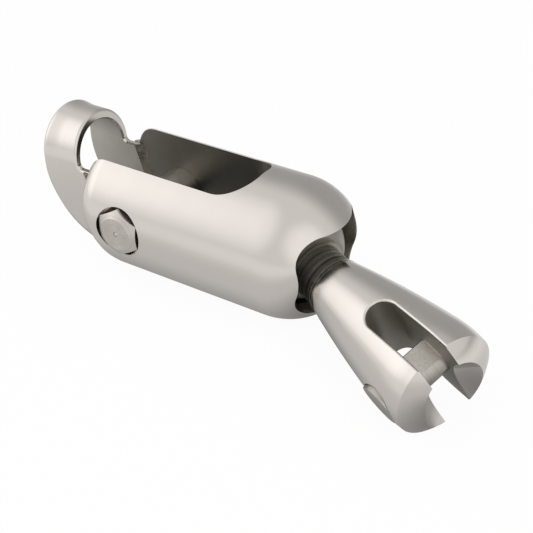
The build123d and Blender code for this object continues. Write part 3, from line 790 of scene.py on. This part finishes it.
@dataclass
class Studio:
    """Pale floor with a painted shadow that only reflections see, a soft graded tent that lights and mirrors in
    the metal, and soft lamps.

    Attributes:
        floor_size: side of the floor, in metres.
        floor_colour: sRGB hex of the floor.
        tent_radius: radius of the tent, in metres.
        tent_sides: faces round the tent.
        tent_rows: rows of faces from the floor to its top.
        full_rise: the height, as a share of the radius, at which it is as bright as overhead.
        horizon: the tent's brightness low down.
        zenith: its brightness overhead.
        whiteness: how much of the floor looks plain white.
        foot_painted_shadow: how bright the floor's painted shadow is under the part, in the part's reflections.
        foot_reach: how far from the part's middle line that shade reaches, in mm.
        near_whiteness: how bright the floor is at that distance, in reflections.
        near_reach: how far out it is as white as the background, in mm.
        rear_painted_shade: how much of that reflections see behind the part, as painted shade.
        rear_start: how far behind the part's middle line that begins, in mm.
        rear_reach: how far behind it is complete, in mm.
        glows: the brighter places on the tent, and the duller ones.
    """

    floor_size: float = 40.0
    floor_colour: str = "#F4F3F1"
    tent_radius: float = 4.0
    tent_sides: int = 48
    tent_rows: int = 16
    full_rise: float = 0.8
    horizon: float = 0.85
    zenith: float = 0.84
    whiteness: float = 0.95
    foot_painted_shadow: float = 0.25
    foot_reach: float = 36.0
    near_whiteness: float = 0.7
    near_reach: float = 130.0
    rear_painted_shade: float = 0.55
    rear_start: float = 20.0
    rear_reach: float = 250.0
    glows: tuple[Glow, ...] = (
        Glow((-0.6, -0.5, 0.616), 14.0, 45.0, 0.29),
        Glow((-0.87, -0.3, 0.38), 14.0, 38.0, 0.36),
        Glow((0.7, -0.45, 0.45), 10.0, 42.0, 0.3),
        Glow((0.0, 1.0, 0.1), 30.0, 70.0, -0.4),
    )

    def build(self) -> None:
        """Make the floor, the tent, the world and the lamps."""
        self.make_floor()
        self.make_tent()
        self.make_world()
        self.make_lamp("key_softbox", (-0.75, -1.05, 0.95), (0.03, 0, 0), 1.1, 4.0)
        self.make_lamp("fill_softbox", (0.9, -0.5, 1.0), (0.06, 0, 0), 0.6, 1.5)

    def make_floor(self) -> None:
        """A plain pale floor level with the lowest point of the part.

        The camera sees it nearly white, over the part's own shadow. Reflections see it just as white far
        off, with a painted shadow near the part and behind it, which gives polished metal its darker lower
        edges.
        """
        mesh = bpy.data.meshes.new("studio_floor")
        half = self.floor_size / 2
        height = CAD_BOX[0][2]
        corners = [(-half, -half, height), (half, -half, height), (half, half, height), (-half, half, height)]
        mesh.from_pydata(corners, [], [(0, 1, 2, 3)])
        floor = bpy.data.objects.new("studio_floor", mesh)
        bpy.context.scene.collection.objects.link(floor)
        material = bpy.data.materials.new("pale_floor_painted_reflected_shadow")
        material.use_nodes = True
        tree = material.node_tree
        shader = tree.nodes["Principled BSDF"]
        shader.inputs["Base Color"].default_value = linear(self.floor_colour)
        shader.inputs["Roughness"].default_value = 0.9
        path = add_node(tree, "ShaderNodeLightPath")
        pattern = Pattern(tree)
        along, across, _ = pattern.split(pattern.place())
        ahead = pattern.math("SUBTRACT", along, CAD_BOX[1][0] / MM)
        behind = pattern.math("SUBTRACT", CAD_BOX[0][0] / MM, along)
        beyond = pattern.math("MAXIMUM", pattern.math("MAXIMUM", ahead, behind), 0.0)
        bend = pattern.math("MAXIMUM", pattern.math("SUBTRACT", along, BALL_CENTRE), 0.0)
        swing = pattern.math("MULTIPLY", bend, math.tan(math.radians(JAW_YAW)))
        away = pattern.length(beyond, pattern.math("ADD", across, swing))
        # painted shadow: reflections see the floor as an emission darkened near the part and behind it, not its
        # real shading
        under = pattern.ramp(away, 0.0, self.foot_reach, self.foot_painted_shadow, self.near_whiteness)
        reflected_floor_painted_shadow = pattern.math("ADD", under, pattern.ramp(away, self.foot_reach, self.near_reach, 0.0,
                                                           self.whiteness - self.near_whiteness))
        rear = pattern.ramp(across, self.rear_start, self.rear_reach, 1.0, self.rear_painted_shade)
        reflected_floor_painted_shadow = pattern.math("MULTIPLY", reflected_floor_painted_shadow, rear)
        direct = pattern.math("MAXIMUM", path.outputs["Is Camera Ray"], path.outputs["Is Transmission Ray"])
        glossy = path.outputs["Is Glossy Ray"]
        seen = pattern.math("MAXIMUM", pattern.math("MULTIPLY", direct, self.whiteness), glossy)
        glow = add_node(tree, "ShaderNodeEmission", {}, {
            "Color": (1, 1, 1, 1), "Strength": pattern.mix(glossy, 1.0, reflected_floor_painted_shadow)})
        mix = add_node(tree, "ShaderNodeMixShader", {}, {0: seen, 1: shader.outputs[0], 2: glow.outputs[0]})
        tree.links.new(mix.outputs[0], tree.nodes["Material Output"].inputs["Surface"])
        mesh.materials.append(material)

    def make_tent(self) -> None:
        """A half dome of diffusing cloth, grey low down and bright overhead, that the camera looks through."""
        mesh = bpy.data.meshes.new("diffusing_tent")
        around, up = self.tent_sides, self.tent_rows
        points = []
        for row in range(up):
            rise = math.radians(90 * row / up)
            for step in range(around):
                turn = math.tau * step / around
                points.append((self.tent_radius * math.cos(rise) * math.cos(turn),
                               self.tent_radius * math.cos(rise) * math.sin(turn),
                               self.tent_radius * math.sin(rise) + CAD_BOX[0][2]))
        points.append((0, 0, self.tent_radius + CAD_BOX[0][2]))
        faces = []
        for row in range(up - 1):
            for step in range(around):
                after = (step + 1) % around
                faces.append((row * around + step, (row + 1) * around + step,
                              (row + 1) * around + after, row * around + after))
        last = (up - 1) * around
        faces += [(last + step, len(points) - 1, last + (step + 1) % around) for step in range(around)]
        mesh.from_pydata(points, [], faces)
        for face in mesh.polygons:
            face.use_smooth = True
        tent = bpy.data.objects.new("diffusing_tent", mesh)
        bpy.context.scene.collection.objects.link(tent)
        tent.visible_camera = False
        tent.visible_shadow = False
        material = bpy.data.materials.new("diffusing_cloth")
        material.use_nodes = True
        tree = material.node_tree
        pattern = Pattern(tree)
        way = add_node(tree, "ShaderNodeVectorMath", {"operation": "NORMALIZE"}, {0: pattern.place()}).outputs[0]
        strength = pattern.ramp(pattern.split(way)[2], 0.0, self.full_rise, self.horizon, self.zenith)
        for glow in self.glows:
            near = add_node(tree, "ShaderNodeVectorMath", {"operation": "DOT_PRODUCT"},
                            {0: way, 1: Vector(glow.towards).normalized()}).outputs["Value"]
            wide, full = (math.cos(math.radians(angle)) for angle in (glow.edge, glow.core))
            strength = pattern.math("ADD", strength, pattern.ramp(near, wide, full, 0.0, glow.gain))
        glow = add_node(tree, "ShaderNodeEmission", {}, {"Color": linear("#FFFFFF"), "Strength": strength})
        tree.links.new(glow.outputs[0], tree.nodes["Material Output"].inputs["Surface"])
        mesh.materials.append(material)

    def make_world(self) -> None:
        """Plain white surroundings outside the tent."""
        world = bpy.data.worlds.new("white_surroundings")
        bpy.context.scene.world = world
        world.use_nodes = True
        background = world.node_tree.nodes["Background"]
        background.inputs["Color"].default_value = (1, 1, 1, 1)
        background.inputs["Strength"].default_value = 1.0

    def make_lamp(self, name: str, place: tuple[float, float, float], aim: tuple[float, float, float],
                  size: float, power: float) -> None:
        """A square soft lamp.

        Args:
            name: the lamp's name.
            place: where it hangs, in metres.
            aim: the point it faces.
            size: its side, in metres.
            power: its power in watts.
        """
        data = bpy.data.lights.new(name, "AREA")
        data.size = size
        data.energy = power
        lamp = bpy.data.objects.new(name, data)
        lamp.location = place
        lamp.rotation_euler = (Vector(aim) - Vector(place)).to_track_quat("-Z", "Y").to_euler()
        lamp.visible_glossy = False
        bpy.context.scene.collection.objects.link(lamp)


@dataclass
class ViewPoint:
    """The main camera."""

    aim: tuple[float, float, float] = (0.0436, 0.0, -0.0115)
    azimuth: float = 32.0
    elevation: float = 34.0
    distance: float = 0.3448
    lens_mm: float = 69.2

    def build(self) -> None:
        """Make the camera and hand it to the scene."""
        data = bpy.data.cameras.new("main_camera")
        data.lens = self.lens_mm
        data.sensor_width = 36.0
        data.clip_start = 0.01
        camera = bpy.data.objects.new("main_camera", data)
        a, e = math.radians(self.azimuth), math.radians(self.elevation)
        back = Vector((math.sin(a) * math.cos(e), -math.cos(a) * math.cos(e), math.sin(e)))
        camera.location = Vector(self.aim) + back * self.distance
        camera.rotation_euler = back.to_track_quat("Z", "Y").to_euler()
        bpy.context.scene.collection.objects.link(camera)
        bpy.context.scene.camera = camera


def main() -> None:
    """Build the looks in order."""
    logging.basicConfig(level=logging.INFO, format="%(message)s")
    finishes = {
        BODY_STEEL: ("swivel_body",),
        HORN_STEEL: ("guide_horn",),
        WELD_STEEL: ("horn_welds",),
        JAW_STEEL: ("chain_jaw",),
        BALL_STEEL: ("swivel_ball",),
        WASHER_STEEL: ("neck_washer", "rear_washer"),
        PIN_STEEL: ("anchor_pin",),
        CHAIN_PIN_STEEL: ("chain_pin",),
        SCREW_STEEL: ("anchor_pin_lock_screw", "chain_pin_lock_screw", "stem_nut", "nut_lock_pin"),
        BRONZE: ("stem_bush",),
        SEAT_ACETAL: ("upper_ball_seat", "lower_ball_seat"),
    }
    materials = {finish: finish.build() for finish in finishes}
    for finish, nodes in finishes.items():
        for node in nodes:
            dress(node, materials[finish])
    tree = ring_tree()
    JawNeck().build(tree, materials[WASHER_STEEL])
    AnchorPinHead().build(tree, materials[PIN_STEEL])
    Studio().build()
    ViewPoint().build()
    bpy.context.scene.view_settings.view_transform = "Standard"


if __name__ == "__main__":
    main()
